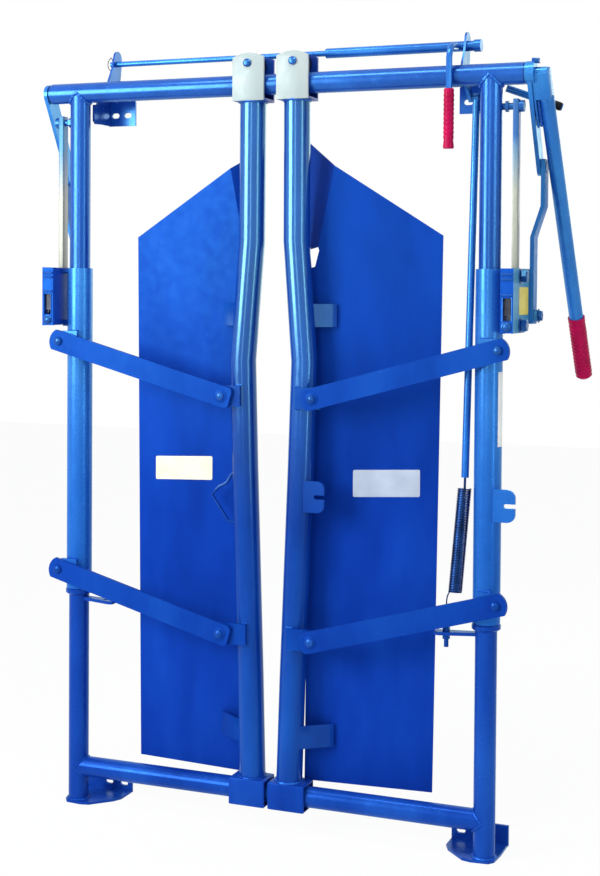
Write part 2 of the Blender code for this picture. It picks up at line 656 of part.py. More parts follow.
def panels():
    """Sheet panels behind the bars, with their upper inner corner folded back."""
    pivot_x, pivot_y = PANEL_PIVOT
    crease_top, crease_bottom = (0.137, 1.604), (0.0975, 1.4095)
    flaps = {LEFT: [(0.057, 1.6545), (0.054, 1.403)], RIGHT: [(0.031, 1.6709), (0.036, 1.401)]}
    for side, word in SIDES:
        outline = [
            (0.072, 0.115), (0.388, 0.115), (0.403, 1.436), crease_top, *flaps[side],
            crease_bottom, (0.0995, 1.401), (0.0895, 1.362), (0.079, 1.359),
        ]
        shape = bmesh.new()
        corners = [shape.verts.new((side * (x - pivot_x), 0, z)) for x, z in outline]
        shape.faces.new(corners)
        top, bottom = corners[3].co.copy(), corners[6].co.copy()
        crease = (top - bottom).normalized()
        bmesh.ops.connect_verts(shape, verts=[corners[3], corners[6]])
        bmesh.ops.rotate(
            shape, verts=[corners[4], corners[5]], cent=top,
            matrix=Matrix.Rotation(-side * PANEL_FOLD, 3, crease),
        )
        panel = from_bmesh(
            "panel", shape, (side * pivot_x, pivot_y, 0), (0, 0, side * PANEL_TILT)
        )
        solid = panel.modifiers.new("sheet", "SOLIDIFY")
        solid.use_even_offset = True
        solid.thickness = SHEET
        solid.offset = 0
        part(panel, f"{word}_panel", (0.010, 0.085, 0.50), 0.35, 0.2, GATES[side])


def pull_handle():
    """A bent wire handle beside the left gate bar."""
    points = [(0.094, 0.870), (0.112, 0.856), (0.127, 0.832), (0.149, 0.820), (0.167, 0.801), (0.122, 0.738), (0.094, 0.736)]
    loop = bent_bar([(-x, 0.012, z) for x, z in points], 0.004, 3)
    line = [Vector((-p.x, p.y, p.z)) for p in bar_line()]
    bar = bent_bar([line[0], *line[1:-1], line[-1]], BAR_R + GAP, 10)
    part(cut(loop, bar), "pull_handle", (0.05, 0.25, 0.70), 0.3, 0.4, GATES[LEFT])


# Lever shaft.
def lever_point(distance):
    """A point on the lever's middle line, at a distance down it from the shaft."""
    return Vector((
        LEVER_TOP_X + LEVER_SPLAY * distance, distance * math.cos(LEVER_TILT),
        BEAM_Z + distance * math.sin(LEVER_TILT),
    ))


def lever_box(start, end, x_low, x_high, half_aside, bevel=0.0):
    """A block along the lever's line, with its sides given across the lever."""
    ahead = (lever_point(end) - lever_point(start)).normalized()
    across = (Vector((1, 0, 0)) - ahead * ahead.x).normalized()
    reach = (lever_point(end) - lever_point(start)).length / 2
    block = box((x_low, -half_aside, -reach), (x_high, half_aside, reach), bevel)
    turn = Matrix((across, ahead.cross(across), ahead)).transposed()
    middle = (lever_point(start) + lever_point(end)) / 2
    block.location = middle + turn @ Vector(((x_low + x_high) / 2, 0, 0))
    block.rotation_euler = turn.to_euler()
    return block


def crank(x, tilt, length, thickness, hub, end):
    """A round-ended flat that stands out from the shaft."""
    outline = arc((0, 0), hub, 90, 270, 8) + arc((length, 0), end, -90, 90, 8)
    flat = plate(outline, thickness, (x, 0, BEAM_Z), (0, 0, 0))
    flat.rotation_euler = (Matrix.Rotation(tilt, 3, "X") @ Euler(FACING_X).to_matrix()).to_euler()
    return flat


def lever_shaft():
    """The shaft through the top beam, with its cranks, spring arm, peg and lever socket."""
    shaft = rod((SHAFT_LEFT, 0, BEAM_Z), (SHAFT_RIGHT, 0, BEAM_Z), SHAFT_R)
    pieces = []
    for side, _ in SIDES:
        pieces.append(crank(side * CRANK_X, LEVER_TILT, CRANK_LENGTH, FLAT, 0.0235, 0.019))
    pieces.append(crank(ARM_X, ARM_TILT, ARM_LENGTH, 0.008, 0.017, 0.0105))
    pieces.append(rod((0.555, 0.045, 1.772), (0.676, 0.0865, 1.7285), 0.0085, 16))
    pieces.append(rod((CRANK_X - 0.004, 0.0665, 1.749), (CRANK_X + 0.004, 0.0665, 1.749), 0.020, 16))
    pieces.append(rod((BEAM_END + 0.0038, 0, BEAM_Z), (CRANK_X + 0.0115, 0, BEAM_Z), 0.0265, 32))
    socket = lever_box(-0.006, 0.126, -0.0265, 0.0135, 0.0190, 0.002)
    open_side = lever_box(0.058, 0.200, -0.0210, 0.0500, 0.0500)
    part(weld(shaft, cut(socket, open_side), *pieces), "lever_shaft", joint=SHAFT)


def lever():
    """The long hand lever, a tube with a ribbed grip on its end."""
    start, end = lever_point(0.0585), lever_point(LEVER_LENGTH)
    part(tube(start, end, LEVER_R, LEVER_R - 0.003), "lever", joint=SHAFT)
    direction = (end - start).normalized()
    grip_length, rib, ribs = 0.168, 0.0011, 14
    profile = [(0, grip_length), (0.015, grip_length), (0.0202, grip_length - 0.005)]
    pitch = (grip_length - 0.030) / ribs
    for i in range(ribs):
        top = grip_length - 0.012 - i * pitch
        profile += [(0.0197, top), (0.0197 + rib, top - pitch / 3), (0.0197 + rib, top - pitch * 2 / 3)]
    profile += [(0.0197, 0.015), (0.0207, 0.012), (0.0207, 0), (LEVER_R + GAP, 0)]
    profile += [(LEVER_R + GAP, grip_length - 0.006), (0, grip_length - 0.006)]
    base = end - direction * (grip_length - 0.006 - GAP)
    part(turned(profile, base, direction, 20), "lever_grip", (0.55, 0.01, 0.06), 0.4, 0.0, SHAFT)


def pull_links():
    """Joggled flats that join each crank's pin to its latch box."""
    low, high = PULL_PIN_Z, BEAM_Z + CRANK_LENGTH * math.sin(LEVER_TILT)
    near, far, past = 0.6084, 0.63175, 0.019
    half = FLAT / 2
    middle = [(near, low - past), (near, 1.432), (far, 1.504), (far, high + past)]
    outline = [(x - half, z) for x, z in middle] + [(x + half, z) for x, z in reversed(middle)]
    lean = math.atan2(CRANK_LENGTH * math.cos(LEVER_TILT) - PULL_PIN_Y, high - low)
    for side, word in SIDES:
        joint = PULLS[side]
        link = plate([(side * x, z - low) for x, z in outline], 0.038, (0, PULL_PIN_Y, low))
        link.rotation_euler = (math.radians(90) - lean, 0, 0)
        eye = rod((side * 0.55, PULL_PIN_Y, low), (side * 0.66, PULL_PIN_Y, low), 0.0078 + GAP, 16)
        top_y = PULL_PIN_Y + (high - low) * math.tan(lean)
        pin = rod((side * (far - half + 0.001), top_y, high), (side * (far + half + 0.001), top_y, high),
                  0.0125, 16)
        part(weld(cut(link, eye), pin), f"{word}_pull_link", (0.05, 0.22, 0.60), joint=joint)


def spring_rod():
    """The rod that hangs from the spring arm, with an eye beside it."""
    x = 0.4840
    top = Vector((x, ARM_LENGTH * math.cos(ARM_TILT), BEAM_Z + ARM_LENGTH * math.sin(ARM_TILT)))
    bottom = Vector((0.4795, -0.004, 0.878))
    stem = rod(top - Vector((0, 0, 0.004)), bottom, 0.0088, 12)
    eye = rod((ARM_X + 0.004 + GAP, top.y, top.z), (x + 0.006, top.y, top.z), 0.0095, 16)
    part(weld(stem, eye), "spring_rod", (0.02, 0.10, 0.36), joint=SPRING_ROD)


def closing_spring():
    """The close-wound extension spring's envelope, with its two hooks."""
    coil = rod(SPRING_BOTTOM, SPRING_TOP, 0.0165, 16)
    upper = rod(SPRING_TOP - Vector((0, 0, 0.004)), (0.4795, -0.004, 0.8775), 0.0035, 8)
    lower = bent_bar(
        [(0.450, -0.020, 0.620), (0.4445, -0.021, 0.606), (0.4435, -0.022, 0.582)], 0.002, 2
    )
    part(weld(coil, upper, lower), "closing_spring", (0.01, 0.02, 0.06), 0.45, 0.7)


def selector():
    """The rod above the beam that sets how the gate latches, and its hand lever."""
    thin, thick, step = 0.0070, 0.0120, 0.112
    profile = [(0, 0.494), (0.0145, 0.494), (0.0145, 0.478), (thick, 0.478), (thick, step)]
    profile += [(thin, step), (thin, -0.472), (0, -0.472)]
    shaft = turned(profile, (0, ROD_Y, ROD_Z), (1, 0, 0), 16)
    corner = [
        (ROD_Y, ROD_Z), (-0.010, 1.866), (-0.022, 1.861), (-0.029, 1.851), (HANG_Y, 1.838), (HANG_Y, 1.7635),
    ]
    handle = bent_bar([(SELECTOR_X, y, z) for y, z in corner], 0.0075, 3)
    part(weld(shaft, handle), "selector_rod", (0.02, 0.14, 0.55), joint=SELECTOR)

    length, ribs = 0.136, 10
    profile = [(0, -0.0030), (0.0078, -0.0030), (0.0078, 0), (0.0108, 0), (0.0118, -0.004)]
    pitch = 0.0105
    for i in range(ribs):
        top = -0.010 - i * pitch
        profile += [(0.0112, top), (0.0122, top - pitch / 3), (0.0122, top - pitch * 2 / 3)]
    profile += [(0.0110, -0.116), (0.0128, -length + 0.004), (0.0118, -length), (0, -length)]
    grip = turned(profile, (SELECTOR_X, HANG_Y, 1.766), (0, 0, 1), 20)
    part(grip, "selector_grip", (0.55, 0.01, 0.06), 0.4, 0.0, SELECTOR)


def centre_on_origin():
    """Moves the root so that the bottom centre of the whole object's box is the origin."""
    bpy.context.view_layer.update()
    graph = bpy.context.evaluated_depsgraph_get()
    corners = []
    for obj in PARTS.objects:
        if obj.type == "MESH":
            shape = obj.evaluated_get(graph)
            corners += [shape.matrix_world @ vertex.co for vertex in shape.data.vertices]
    low = [min(corner[i] for corner in corners) for i in range(3)]
    high = [max(corner[i] for corner in corners) for i in range(3)]
    ROOT.location = (-(low[0] + high[0]) / 2, -(low[1] + high[1]) / 2, -low[2])


clear_scene()
PARTS = collection("head_gate")
CUTTERS = collection("cutters")
ROOT = bpy.data.objects.new("root", None)
PARTS.objects.link(ROOT)
SHAFT = empty("shaft_axis", (0, 0, BEAM_Z))
SELECTOR = empty("selector_axis", (0, ROD_Y, ROD_Z))
SPRING_ROD = empty("spring_rod_axis", (0.4840, 0, BEAM_Z))
SLEEVES = {side: empty(f"{word}_sleeve_axis", (side * POST_X, 0, SLEEVE_BOTTOM)) for side, word in SIDES}
GATES = {side: empty(f"{word}_gate_axis", (side * SADDLE_X, 0, BEAM_Z)) for side, word in SIDES}
ROLLERS = {side: empty(f"{word}_roller_axis", (side * ROLLER_X, 0, ROLLER_Z)) for side, word in SIDES}
DOGS = {side: empty(f"{word}_dog_axis", (side * LOCK_X, DOG_PIVOT_Y, DOG_PIVOT_Z)) for side, word in SIDES}
PULLS = {side: empty(f"{word}_pull_axis", (side * 0.6, PULL_PIN_Y, PULL_PIN_Z)) for side, word in SIDES}
LINKS = {
    (side, level): empty(f"{word}_{level}_link_axis", (side * OUTER_PIVOT_X, LINK_Y, z))
    for side, word in SIDES for level, z in (("upper", UPPER_PIVOT_Z), ("lower", LOWER_PIVOT_Z))
}

top_beam()
bottom_beam()
posts()
feet()
top_brackets()
rod_hangers()
shaft_bushings()
lock_bars()
spring_brackets()
spring_eye_bolt()
sleeves()
latch_boxes()
latch_dogs()
links()
gate_bars()
saddles()
saddle_rollers()
slide_boxes()
panels()
pull_handle()
lever_shaft()
lever()
pull_links()
spring_rod()
closing_spring()
selector()
centre_on_origin()
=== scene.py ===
"""A cattle head gate in gloss blue paint, on a pale floor in soft studio light."""

import json
import math

import bmesh
import bpy
from mathutils import Matrix, Vector

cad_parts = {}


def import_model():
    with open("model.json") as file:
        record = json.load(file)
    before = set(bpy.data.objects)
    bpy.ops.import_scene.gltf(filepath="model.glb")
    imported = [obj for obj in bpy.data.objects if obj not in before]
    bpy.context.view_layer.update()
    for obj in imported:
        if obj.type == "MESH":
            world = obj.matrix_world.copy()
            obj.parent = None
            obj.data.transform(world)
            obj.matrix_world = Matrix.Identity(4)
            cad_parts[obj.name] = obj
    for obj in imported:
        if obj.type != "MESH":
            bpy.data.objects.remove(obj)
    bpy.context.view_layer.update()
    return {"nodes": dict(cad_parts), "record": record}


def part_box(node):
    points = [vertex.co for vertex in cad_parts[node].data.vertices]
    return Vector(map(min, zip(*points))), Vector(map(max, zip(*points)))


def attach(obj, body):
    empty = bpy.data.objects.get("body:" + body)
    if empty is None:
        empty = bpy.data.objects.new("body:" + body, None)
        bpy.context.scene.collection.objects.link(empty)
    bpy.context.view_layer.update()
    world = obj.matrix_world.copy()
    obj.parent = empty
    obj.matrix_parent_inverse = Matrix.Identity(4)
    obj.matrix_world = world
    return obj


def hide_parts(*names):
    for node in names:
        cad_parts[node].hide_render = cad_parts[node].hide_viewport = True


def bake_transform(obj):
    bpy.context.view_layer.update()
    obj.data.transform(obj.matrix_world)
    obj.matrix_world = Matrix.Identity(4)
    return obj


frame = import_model()

LEFT, RIGHT = -1, 1
SIDES = ((LEFT, "left"), (RIGHT, "right"))
POST_X, BEAM_Z, SILL_Z = 0.5317, 1.798, 0.088
TUBE_R, SLEEVE_R, BAR_R = 0.0254, 0.03175, 0.03175
PIVOT_X, PIVOT_Z = 0.565, {"upper": 1.1728, "lower": 0.5968}  # the outer pins of the links
LUG_X, LUG_DROP = 0.1175, 0.1238  # the inner pins, and how much lower they sit
LINK_BACK, LINK_FRONT = -0.0298, -0.0506
LATCH_OUT, LATCH_FRONT = 0.6030, -0.065
LATCH_BOLT_X, LATCH_BOLT_Z = 0.5875, 1.2265
LABEL_GAP, LABEL_THICK, LABEL_CORNER = 0.0002, 0.0004, 0.004
SHARP = math.radians(31)

low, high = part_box("left_post")[0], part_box("right_post")[1]
MIDDLE = Vector(((low[0] + high[0]) / 2, (low[1] + high[1]) / 2, 0))


def at(x, y, z):
    """A place given from the gate's centre line, in the frame's coordinates."""
    return MIDDLE + Vector((x, y, z))


# Materials.
class Nodes:
    """A material's node tree, with short ways to add and join nodes."""

    def __init__(self, name):
        self.material = bpy.data.materials.new(name)
        self.material.use_nodes = True
        self.tree = self.material.node_tree
        self.shader = self.tree.nodes["Principled BSDF"]
        self.place = self.tree.nodes.new("ShaderNodeTexCoord").outputs["Object"]

    def join(self, start, end):
        self.tree.links.new(start, end)

    def feed(self, name, socket):
        """Joins a socket to an input of the shader."""
        self.join(socket, self.shader.inputs[name])

    def fed(self, name):
        """The socket that feeds an input of the shader so far."""
        return self.shader.inputs[name].links[0].from_socket

    def hold(self, name, value):
        """Gives an input of the shader one value."""
        self.shader.inputs[name].default_value = value

    def stretched(self, scale, shift=0.0):
        mapping = self.tree.nodes.new("ShaderNodeMapping")
        mapping.inputs["Scale"].default_value = scale
        mapping.inputs["Location"].default_value = (shift, shift, shift)
        self.join(self.place, mapping.inputs["Vector"])
        return mapping.outputs["Vector"]

    def along(self, axis):
        """How far the shaded point lies along X, Y or Z, in the rest pose."""
        node = self.tree.nodes.new("ShaderNodeSeparateXYZ")
        self.join(self.place, node.inputs["Vector"])
        return node.outputs[axis]

    def noise(self, scale, detail=3.0, roughness=0.5, place=None):
        node = self.tree.nodes.new("ShaderNodeTexNoise")
        node.inputs["Scale"].default_value = scale
        node.inputs["Detail"].default_value = detail
        node.inputs["Roughness"].default_value = roughness
        self.join(place or self.place, node.inputs["Vector"])
        return node.outputs["Fac"]

    def ramp(self, value, stops):
        node = self.tree.nodes.new("ShaderNodeValToRGB")
        ends = node.color_ramp.elements
        while len(ends) < len(stops):
            ends.new(0.5)
        for end, (position, colour) in zip(ends, stops):
            end.position = position
            end.color = (*colour, 1.0)
        self.join(value, node.inputs["Fac"])
        return node.outputs["Color"]

    def span(self, value, low, high, start=0.3, end=0.7):
        """Low where the value is at its start, high where it is at its end, and even between them."""
        node = self.tree.nodes.new("ShaderNodeMapRange")
        node.inputs["From Min"].default_value = start
        node.inputs["From Max"].default_value = end
        node.inputs["To Min"].default_value = low
        node.inputs["To Max"].default_value = high
        self.join(value, node.inputs["Value"])
        return node.outputs["Result"]

    def mix(self, factor, first, second):
        node = self.tree.nodes.new("ShaderNodeMix")
        node.data_type = "RGBA"
        self.join(factor, node.inputs["Factor"])
        self.join(first, node.inputs["A"])
        self.join(second, node.inputs["B"])
        return node.outputs["Result"]

    def bump(self, value, strength, distance):
        node = self.tree.nodes.new("ShaderNodeBump")
        node.inputs["Strength"].default_value = strength
        node.inputs["Distance"].default_value = distance
        self.join(value, node.inputs["Height"])
        self.feed("Normal", node.outputs["Normal"])


def combine(tree, operation, first, second):
    """A math node over two sockets, or over a socket and a number."""
    node = tree.nodes.new("ShaderNodeMath")
    node.operation = operation
    tree.links.new(first, node.inputs[0])
    if isinstance(second, float):
        node.inputs[1].default_value = second
    else:
        tree.links.new(second, node.inputs[1])
    return node.outputs[0]


def paint(
    name, deep, body, light, rough=(0.18, 0.30), metallic=0.25, seed=0.0, gloss=0.75, tint=(0.28, 0.90, 0.80)
):
    """Paint over steel: a slight orange peel, a tone that drifts along the tube, and small scuffs.

    It shines less towards the foot of the gate.
    """
    made = Nodes(name)
    place = made.stretched((1, 1, 0.35), seed)
    drift = made.ramp(made.noise(5.0, 4.0, 0.6, place), [(0.30, deep), (0.50, body), (0.70, light)])
    palest = tuple(min(1.0, v * 1.8 + 0.03) for v in light)
    worn = made.ramp(made.noise(30.0), [(0.3, light), (0.7, palest)])
    scuffs = made.span(made.noise(95.0, 5.0, 0.7), 0.0, 0.55, 0.66, 0.74)
    made.feed("Base Color", made.mix(scuffs, drift, worn))
    made.feed("Roughness", made.span(made.noise(42.0, 3.0), *rough))
    made.bump(made.noise(310.0, 2.0), 0.10, 0.0004)
    made.hold("Metallic", metallic)
    made.feed("Specular IOR Level", made.span(made.along("Z"), 0.18 * gloss, gloss, 0.75, 1.35))
    made.hold("Specular Tint", (*tint, 1))
    made.hold("IOR", 1.5 + 0.15 * gloss)
    return made


def saddle_paint():
    """Pale on the front plate as a painted reflection, and blue behind it as painted shade."""
    made = paint(
        "saddle_paint", (0.25, 0.31, 0.32), (0.30, 0.36, 0.36), (0.36, 0.40, 0.39),
        rough=(0.34, 0.48), metallic=0.1, seed=5.0, gloss=0.2, tint=(0.8, 0.95, 0.92),
    )
    # Painted light: the pale front plate stands in for a reflection, and the blue behind it stands in for
    # shade.
    painted_light_tone = made.fed("Base Color")
    blue = made.ramp(made.noise(6.0), [(0.3, (0.003, 0.025, 0.20)), (0.7, (0.008, 0.060, 0.36))])
    behind = made.span(made.along("Y"), 0.0, 1.0, MIDDLE.y - 0.0300, MIDDLE.y - 0.0290)
    made.feed("Base Color", made.mix(behind, painted_light_tone, blue))
    return made


def latch_paint_with_painted_light():
    """Blue, with a paler outer wall on the right, which is painted light."""
    made = paint(
        "latch_paint_with_painted_light", (0.003, 0.030, 0.26), (0.005, 0.052, 0.36), (0.010, 0.085, 0.45),
        rough=(0.34, 0.46), metallic=0.1, seed=6.0, gloss=0.2, tint=(0.10, 0.80, 0.80),
    )
    blue = made.fed("Base Color")
    # Painted light: a paler blue on the right box's outer wall, where the lamps fall on it.
    painted_light_tone = made.ramp(made.noise(9.0), [(0.3, (0.05, 0.22, 0.42)), (0.7, (0.10, 0.32, 0.50))])
    wall = MIDDLE.x + LATCH_OUT
    outer = made.span(made.along("X"), 0.0, 1.0, wall - 0.0008, wall - 0.0002)
    made.feed("Base Color", made.mix(outer, blue, painted_light_tone))
    return made


def gate_paint():
    """Gloss on the round bar, and duller on the flat plates before and behind it."""
    made = paint(
        "gate_paint", (0.002, 0.022, 0.21), (0.003, 0.042, 0.30), (0.006, 0.070, 0.38),
        rough=(0.14, 0.24), metallic=0.15, seed=3.0, gloss=1.0, tint=(0.38, 0.96, 0.76),
    )
    front, back = MIDDLE.y - BAR_R, MIDDLE.y + BAR_R
    before = made.span(made.along("Y"), 0.4, 1.0, front - 0.002, front - 0.0005)
    behind = made.span(made.along("Y"), 1.0, 0.25, back - 0.001, back + 0.001)
    bar_only = combine(made.tree, "MULTIPLY", before, behind)
    level = combine(made.tree, "MULTIPLY", made.fed("Specular IOR Level"), bar_only)
    made.feed("Specular IOR Level", level)
    return made


def steel(name, deep, light, rough):
    """Drawn steel, with fine lines along its length and a few dull patches."""
    made = Nodes(name)
    grain = made.noise(420.0, 4.0, 0.6, made.stretched((1, 1, 0.04)))
    patches = made.ramp(made.noise(24.0, 4.0), [(0.35, deep), (0.62, light)])
    lines = made.ramp(grain, [(0.30, deep), (0.70, light)])
    half = made.span(made.noise(9.0, 2.0), 0.25, 0.6)
    made.feed("Base Color", made.mix(half, patches, lines))
    made.feed("Roughness", made.span(grain, *rough))
    made.bump(grain, 0.15, 0.0003)
    made.hold("Metallic", 0.9)
    return made


def lock_bar_steel():
    """Bright steel whose blue paint fades out a short way from its upper end."""
    made = Nodes("lock_bar_steel")
    grain = made.noise(420.0, 4.0, 0.6, made.stretched((1, 1, 0.04)))
    bare = made.ramp(grain, [(0.25, (0.25, 0.27, 0.22)), (0.75, (0.37, 0.38, 0.32))])
    tint = made.ramp(made.noise(5.0), [(0.35, (0.01, 0.09, 0.28)), (0.65, (0.05, 0.24, 0.38))])
    painted = made.span(made.along("Z"), 0.0, 1.0, 1.53, 1.66)
    made.feed("Base Color", made.mix(painted, bare, tint))
    made.feed("Roughness", made.span(grain, 0.32, 0.46))
    made.bump(grain, 0.15, 0.0003)
    made.hold("Metallic", 0.25)
    return made


def rubber(name, deep, light):
    """Moulded soft grip, with a fine matt texture and rubbed high spots."""
    made = Nodes(name)
    made.feed("Base Color", made.ramp(made.noise(26.0, 4.0, 0.6), [(0.34, deep), (0.66, light)]))
    made.feed("Roughness", made.span(made.noise(60.0), 0.24, 0.38))
    made.bump(made.noise(900.0, 3.0), 0.25, 0.0003)
    made.hold("Specular IOR Level", 0.1)
    return made


def sticker(name, shade, tone):
    """Blank printed film, slightly yellowed, with a satin face."""
    made = Nodes(name)
    made.feed("Base Color", made.ramp(made.noise(18.0), [(0.3, shade), (0.7, tone)]))
    made.feed("Roughness", made.span(made.noise(70.0), 0.38, 0.5))
    made.bump(made.noise(500.0, 2.0), 0.08, 0.0002)
    return made


LOOKS = {
    "frame_paint": paint("frame_paint", (0.003, 0.030, 0.26), (0.006, 0.050, 0.35), (0.012, 0.083, 0.44)),
    "gate_paint": gate_paint(),
    "latch_paint_with_painted_light": latch_paint_with_painted_light(),
    "sleeve_paint": paint(
        "sleeve_paint", (0.008, 0.080, 0.40), (0.018, 0.130, 0.50), (0.040, 0.200, 0.58),
        rough=(0.2, 0.32), metallic=0.25, seed=7.0,
    ),
    "panel_paint": paint(
        "panel_paint", (0.003, 0.026, 0.24), (0.004, 0.037, 0.32), (0.006, 0.052, 0.38),
        rough=(0.38, 0.50), metallic=0.10, seed=11.0, gloss=0.2, tint=(0.10, 0.80, 0.80),
    ),
    "link_paint": paint(
        "link_paint", (0.003, 0.026, 0.23), (0.005, 0.044, 0.31), (0.008, 0.066, 0.36),
        rough=(0.36, 0.48), metallic=0.15, seed=13.0, gloss=0.2, tint=(0.10, 0.80, 0.80),
    ),
    "pull_paint": paint(
        "pull_paint", (0.010, 0.080, 0.32), (0.025, 0.150, 0.43), (0.050, 0.230, 0.50),
        rough=(0.36, 0.48), metallic=0.1, seed=15.0, gloss=0.2, tint=(0.30, 0.85, 0.80),
    ),
    # The lever's own blue is lighter than the frame's, and it is raised a little more as a painted highlight.
    "lever_paint": paint(
        "lever_paint", (0.005, 0.055, 0.35), (0.013, 0.120, 0.49), (0.04, 0.23, 0.61), gloss=0.9
    ),
    "selector_paint": paint("selector_paint", (0.006, 0.06, 0.34), (0.012, 0.10, 0.46), (0.03, 0.17, 0.58)),
    "saddle_paint": saddle_paint(),
    "slide_paint": paint(
        "slide_paint", (0.003, 0.028, 0.25), (0.006, 0.050, 0.35), (0.014, 0.090, 0.44),
        rough=(0.26, 0.40), metallic=0.2, seed=9.0, gloss=0.4,
    ),
    "bolt_paint": paint("bolt_paint", (0.002, 0.020, 0.16), (0.005, 0.045, 0.28), (0.02, 0.10, 0.42)),
    "weld_paint": paint(
        "weld_paint", (0.003, 0.030, 0.26), (0.007, 0.062, 0.40), (0.03, 0.16, 0.60), rough=(0.26, 0.4)
    ),
    "bright_steel": lock_bar_steel(),
    "dark_steel": steel("dark_steel", (0.012, 0.014, 0.020), (0.05, 0.055, 0.07), (0.35, 0.5)),
    "spring_steel": steel("spring_steel", (0.004, 0.016, 0.07), (0.015, 0.060, 0.22), (0.25, 0.4)),
    "grip_rubber": rubber("grip_rubber", (0.31, 0.001, 0.042), (0.48, 0.001, 0.072)),
    "cap_rubber": rubber("cap_rubber", (0.004, 0.005, 0.008), (0.018, 0.020, 0.028)),
    "cream_label": sticker("blank_label_cream", (0.66, 0.64, 0.46), (0.80, 0.78, 0.60)),
    "pale_label": sticker("blank_label_pale", (0.78, 0.78, 0.74), (0.90, 0.90, 0.86)),
    "yellow_label": sticker("blank_label_yellow", (0.70, 0.56, 0.06), (0.86, 0.70, 0.10)),
    "grey_label": sticker("blank_label_grey", (0.34, 0.40, 0.50), (0.44, 0.50, 0.60)),
}


def smoothing():
    """A node group that rounds the shading across shallow edges and keeps the sharp ones."""
    group = bpy.data.node_groups.new("smooth_shading", "GeometryNodeTree")
    group.interface.new_socket("Geometry", in_out="INPUT", socket_type="NodeSocketGeometry")
    group.interface.new_socket("Geometry", in_out="OUTPUT", socket_type="NodeSocketGeometry")
    add, join = group.nodes.new, group.links.new
    start, end = add("NodeGroupInput"), add("NodeGroupOutput")
    merge = add("GeometryNodeMergeByDistance")
    merge.inputs["Distance"].default_value = 0.000005
    faces, edges = add("GeometryNodeSetShadeSmooth"), add("GeometryNodeSetShadeSmooth")
    faces.domain, edges.domain = "FACE", "EDGE"
    edges.inputs["Shade Smooth"].default_value = False
    angle, compare = add("GeometryNodeInputMeshEdgeAngle"), add("FunctionNodeCompare")
    compare.operation = "GREATER_THAN"
    compare.inputs["B"].default_value = SHARP
    join(start.outputs[0], merge.inputs["Geometry"])
    join(merge.outputs["Geometry"], faces.inputs["Geometry"])
    join(faces.outputs["Geometry"], edges.inputs["Geometry"])
    join(angle.outputs["Unsigned Angle"], compare.inputs["A"])
    join(compare.outputs["Result"], edges.inputs["Selection"])
    join(edges.outputs["Geometry"], end.inputs[0])
    return group


SMOOTH = smoothing()
OWN_LOOKS = {
    "slide_box": "slide_paint", "latch_box": "latch_paint_with_painted_light", "pull_link": "pull_paint",
    "upper_link": "link_paint", "lower_link": "link_paint",
}
looks = {entry["node"]: entry["material_slot"] for entry in frame["record"]["subparts"]}
looks |= {f"{word}_{ending}": look for _, word in SIDES for ending, look in OWN_LOOKS.items()}

for name, node in frame["nodes"].items():
    node.data.materials.clear()
    node.data.materials.append(LOOKS[looks[name]].material)
    node.modifiers.new("smooth", "NODES").node_group = SMOOTH


# Piece builders.
def mesh_of(shape, name):
    bmesh.ops.recalc_face_normals(shape, faces=shape.faces)
    mesh = bpy.data.meshes.new(name)
    shape.to_mesh(mesh)
    shape.free()
    return mesh


def piece(name, shape, body, slot_name, look=None):
    """Makes a visible piece. It looks like the rest of its slot, unless another look is given."""
    mesh = mesh_of(shape, name)
    obj = bpy.data.objects.new(name, mesh)
    bpy.context.scene.collection.objects.link(obj)
    mesh.materials.append(LOOKS[look or slot_name].material)
    mesh.shade_smooth()
    mesh.set_sharp_from_angle(angle=SHARP)
    if body:
        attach(obj, body)
    return obj


def circle(count):
    """The angles of points spaced evenly round a circle."""
    return [2 * math.pi * i / count for i in range(count)]


def cross_directions(points, closed):
    """Two directions across a path at each of its points, without twist."""
    count = len(points)
    made, side = [], None
    for i, point in enumerate(points):
        before = points[i - 1] if (i or closed) else point
        after = points[(i + 1) % count] if (i < count - 1 or closed) else point
        along = (after - before).normalized()
        if side is None:
            side = along.orthogonal()
        side = (side - along * side.dot(along)).normalized()
        made.append((side, along.cross(side)))
    return made


def sweep(shape, points, radius, sides=8, closed=False):
    """Adds a round bar along a path. The radius is one number, or a function of the point's index."""
    rings = []
    for i, (point, (first, second)) in enumerate(zip(points, cross_directions(points, closed))):
        r = radius(i) if callable(radius) else radius
        rings.append([
            shape.verts.new(point + first * (r * math.cos(a)) + second * (r * math.sin(a)))
            for a in circle(sides)
        ])
    pairs = list(zip(rings, rings[1:])) + ([(rings[-1], rings[0])] if closed else [])
    for one, two in pairs:
        for j in range(sides):
            k = (j + 1) % sides
            shape.faces.new((one[j], one[k], two[k], two[j]))
    if not closed:
        shape.faces.new(rings[0])
        shape.faces.new(rings[-1])


def smooth_path(points, steps=6):
    """A Catmull-Rom curve through the points."""
    ends = [points[0] * 2 - points[1], *points, points[-1] * 2 - points[-2]]
    made = []
    for a, b, c, d in zip(ends, ends[1:], ends[2:], ends[3:]):
        for i in range(steps):
            t = i / steps
            made.append(0.5 * (
                2 * b + (c - a) * t + (2 * a - 5 * b + 4 * c - d) * t ** 2 + (3 * b - a - 3 * c + d) * t ** 3
            ))
    made.append(points[-1])
    return made


def turned(shape, profile, place, direction, sides=28):
    """Adds a closed solid of revolution: (radius, height) points that start and end on the axis."""
    turn = Vector(direction).to_track_quat("Z", "Y").to_matrix()
    rings = []
    for radius, height in profile:
        if radius < 1e-6:
            rings.append([shape.verts.new(place + turn @ Vector((0, 0, height)))])
            continue
        rings.append([
            shape.verts.new(place + turn @ Vector((radius * math.cos(a), radius * math.sin(a), height)))
            for a in circle(sides)
        ])
    for one, two in zip(rings, rings[1:]):
        for j in range(sides):
            k = (j + 1) % sides
            corners = [one[j % len(one)], one[k % len(one)], two[k % len(two)], two[j % len(two)]]
            face = list(dict.fromkeys(corners))
            if len(face) > 2:
                shape.faces.new(face)


def washer(shape, place, direction, radius, height=0.0016):
    profile = [(0, height), (radius * 0.94, height), (radius, height * 0.7), (radius, 0), (0, 0)]
    turned(shape, profile, place, direction)


